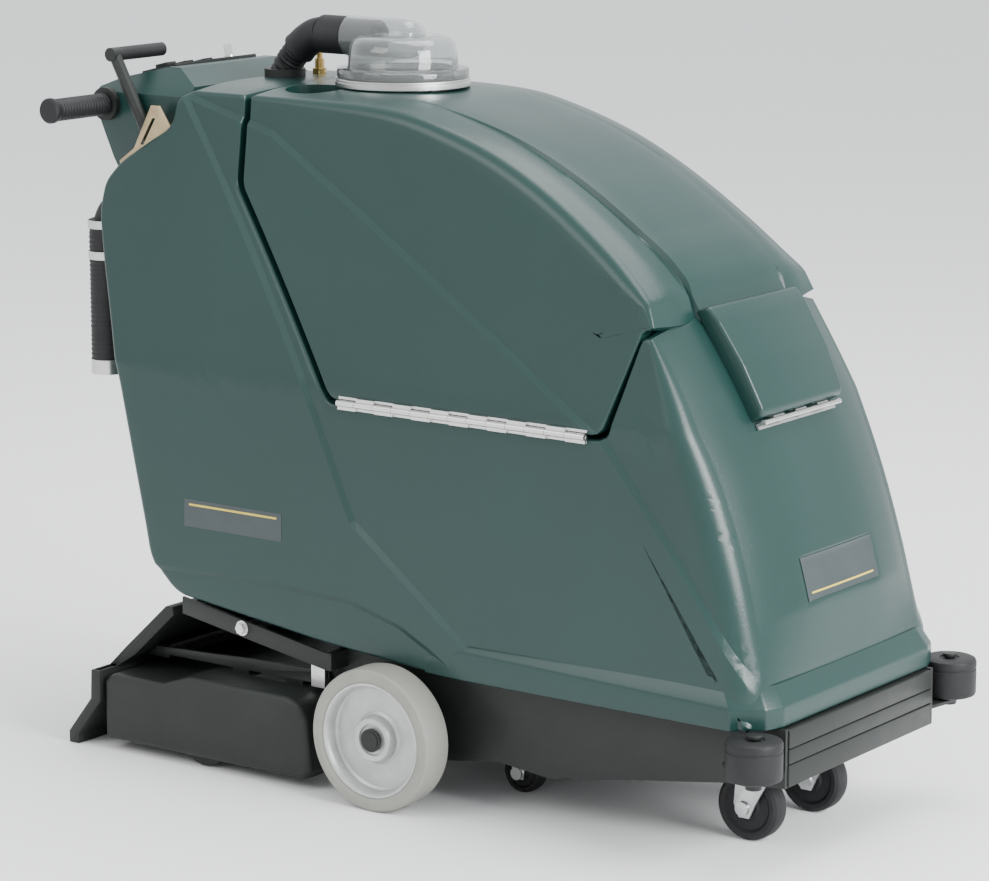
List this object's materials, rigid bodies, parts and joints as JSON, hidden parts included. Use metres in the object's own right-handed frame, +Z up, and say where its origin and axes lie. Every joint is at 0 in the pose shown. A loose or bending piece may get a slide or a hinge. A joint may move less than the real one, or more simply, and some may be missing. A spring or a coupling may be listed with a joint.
{
  "type": "carpet cleaner machine",
  "caption": "Walk-behind carpet extractor with tilting recovery tank, clear dome lid, drive wheels, casters, brush head, vacuum shoe and bumper rollers.",
  "frame": {"origin": "on the floor under the middle of the drive axle, which is the middle of the bounding box in plan", "axes": "+X forwards to the nose and bumper rollers, +Y to the left of someone walking behind it, +Z up"},
  "size_m": [1.286, 0.592, 1.071],
  "materials": {
    "green_shell": "satin",
    "black_steel": "satin",
    "stainless": "satin",
    "black_rubber": "matte",
    "grey_tyre": "matte",
    "rim_paint": "satin",
    "black_plastic": "satin",
    "machinery": "satin",
    "cast_black": "satin",
    "brass": "satin",
    "zinc_yellow": "satin",
    "clear_dome": "gloss"
  },
  "bodies": {
    "machine": {"lower_body": "green_shell", "door_hinge_lower": "stainless", "hinge_leaf_lower": "stainless", "hinge_pin": "stainless", "chassis_frame": "black_steel", "counterweight_plates": "black_steel", "roller_brackets": "black_steel", "batteries": "black_plastic", "battery_posts": "stainless", "transaxle": "cast_black", "vacuum_motor": "machinery", "solution_pump": "machinery", "badge_plate": "black_plastic", "caster_mounts": "stainless", "vacuum_hose": "black_rubber", "hose_socket": "black_plastic", "deck_fitting": "brass", "console_housing": "green_shell", "console_panel": "black_plastic", "hour_meter": "black_plastic", "grip_flanges": "black_plastic", "lever_bracket": "zinc_yellow", "head_pivots": "stainless", "drain_hose": "black_rubber", "drain_fittings": "stainless"},
    "tank": {"recovery_tank": "green_shell", "hinge_leaf_upper": "stainless", "dome_ring": "stainless", "float_screen": "stainless"},
    "lid": {"dome_lid": "clear_dome", "lid_cuff": "black_rubber"},
    "door": {"access_door": "green_shell", "door_hinge_upper": "stainless"},
    "drive_wheel_right": {"wheel_rim_right": "rim_paint", "wheel_tyre_right": "grey_tyre", "drive_shaft_right": "black_steel"},
    "drive_wheel_left": {"wheel_rim_left": "rim_paint", "wheel_tyre_left": "grey_tyre", "drive_shaft_left": "black_steel"},
    "roller_right": {"bumper_roller_right": "black_rubber"},
    "roller_left": {"bumper_roller_left": "black_rubber"},
    "fork_right": {"caster_fork_right": "stainless"},
    "fork_left": {"caster_fork_left": "stainless"},
    "front_wheel_right": {"caster_wheel_right": "black_rubber"},
    "front_wheel_left": {"caster_wheel_left": "black_rubber"},
    "mid_wheel_right": {"mid_caster_wheel_right": "black_rubber"},
    "mid_wheel_left": {"mid_caster_wheel_left": "black_rubber"},
    "pump_rocker": {"rocker_pump": "black_plastic"},
    "vacuum_rocker": {"rocker_vacuum": "black_plastic"},
    "key": {"key_switch": "stainless"},
    "grip_right": {"twist_grip_right": "black_rubber"},
    "grip_left": {"twist_grip_left": "black_rubber"},
    "lever": {"lift_lever": "black_steel", "lever_grip": "black_rubber"},
    "head": {"head_frame": "black_steel", "brush_housing": "black_plastic", "brush_motor": "machinery", "spray_bar": "brass", "vac_shoe": "black_plastic"},
    "brush": {"brush_roller": "black_plastic"}
  },
  "joints": [
    {"name": "tank_tilt", "type": "hinge", "parent": "machine", "child": "tank", "pos_m": [0.117, -0.2389, 0.56], "axis": [1, 0, 0], "range_deg": [0, 80]},
    {"name": "lid_lift", "type": "slide", "parent": "tank", "child": "lid", "axis": [0, 0, 1], "range_m": [0, 0.12]},
    {"name": "door_open", "type": "hinge", "parent": "machine", "child": "door", "pos_m": [0.5133, 0, 0.57878], "axis": [0, 1, 0], "range_deg": [0, 110]},
    {"name": "drive_wheel_right_spin", "type": "hinge", "parent": "machine", "child": "drive_wheel_right", "pos_m": [0, -0.2645, 0.1016], "axis": [0, 1, 0], "continuous": true},
    {"name": "drive_wheel_left_spin", "type": "hinge", "parent": "machine", "child": "drive_wheel_left", "pos_m": [0, 0.2645, 0.1016], "axis": [0, 1, 0], "continuous": true},
    {"name": "roller_right_spin", "type": "hinge", "parent": "machine", "child": "roller_right", "pos_m": [0.605, -0.258, 0.172], "axis": [0, 0, 1], "continuous": true},
    {"name": "roller_left_spin", "type": "hinge", "parent": "machine", "child": "roller_left", "pos_m": [0.605, 0.258, 0.172], "axis": [0, 0, 1], "continuous": true},
    {"name": "fork_right_swivel", "type": "hinge", "parent": "machine", "child": "fork_right", "pos_m": [0.524, -0.081, 0.104], "axis": [0, 0, 1], "continuous": true},
    {"name": "fork_left_swivel", "type": "hinge", "parent": "machine", "child": "fork_left", "pos_m": [0.524, 0.081, 0.104], "axis": [0, 0, 1], "continuous": true},
    {"name": "front_wheel_right_spin", "type": "hinge", "parent": "fork_right", "child": "front_wheel_right", "pos_m": [0.494, -0.081, 0.048], "axis": [0, 1, 0], "continuous": true},
    {"name": "front_wheel_left_spin", "type": "hinge", "parent": "fork_left", "child": "front_wheel_left", "pos_m": [0.494, 0.081, 0.048], "axis": [0, 1, 0], "continuous": true},
    {"name": "mid_wheel_right_spin", "type": "hinge", "parent": "machine", "child": "mid_wheel_right", "pos_m": [0.118, -0.081, 0.031], "axis": [0, 1, 0], "continuous": true},
    {"name": "mid_wheel_left_spin", "type": "hinge", "parent": "machine", "child": "mid_wheel_left", "pos_m": [0.118, 0.081, 0.031], "axis": [0, 1, 0], "continuous": true},
    {"name": "pump_rocker_tip", "type": "hinge", "parent": "machine", "child": "pump_rocker", "pos_m": [-0.53473, -0.036, 0.98502], "axis": [0, 1, 0], "range_deg": [-6, 6]},
    {"name": "vacuum_rocker_tip", "type": "hinge", "parent": "machine", "child": "vacuum_rocker", "pos_m": [-0.53473, 0.008, 0.98502], "axis": [0, 1, 0], "range_deg": [-6, 6]},
    {"name": "key_turn", "type": "hinge", "parent": "machine", "child": "key", "pos_m": [-0.53473, 0.07, 0.98502], "axis": [-0.2363, 0, 0.9717], "range_deg": [0, 90]},
    {"name": "grip_right_twist", "type": "hinge", "parent": "machine", "child": "grip_right", "pos_m": [-0.583, -0.214, 0.936], "axis": [0, 1, 0], "range_deg": [-25, 25], "stiffness_Nm_per_rad": 0.8},
    {"name": "grip_left_twist", "type": "hinge", "parent": "machine", "child": "grip_left", "pos_m": [-0.583, 0.214, 0.936], "axis": [0, 1, 0], "range_deg": [-25, 25], "stiffness_Nm_per_rad": 0.8},
    {"name": "lever_throw", "type": "hinge", "parent": "machine", "child": "lever", "pos_m": [-0.447, -0.162, 0.805], "axis": [0, 1, 0], "range_deg": [0, 26]},
    {"name": "head_lift", "type": "hinge", "parent": "machine", "child": "head", "pos_m": [-0.15, 0, 0.15], "axis": [0, 1, 0], "range_deg": [0, 3.5]},
    {"name": "brush_spin", "type": "hinge", "parent": "head", "child": "brush", "pos_m": [-0.33, 0, 0.052], "axis": [0, 1, 0], "continuous": true}
  ],
  "couplings": [
    {"joint": "head_lift", "follows": "lever_throw", "ratio": 0.13462}
  ]
}
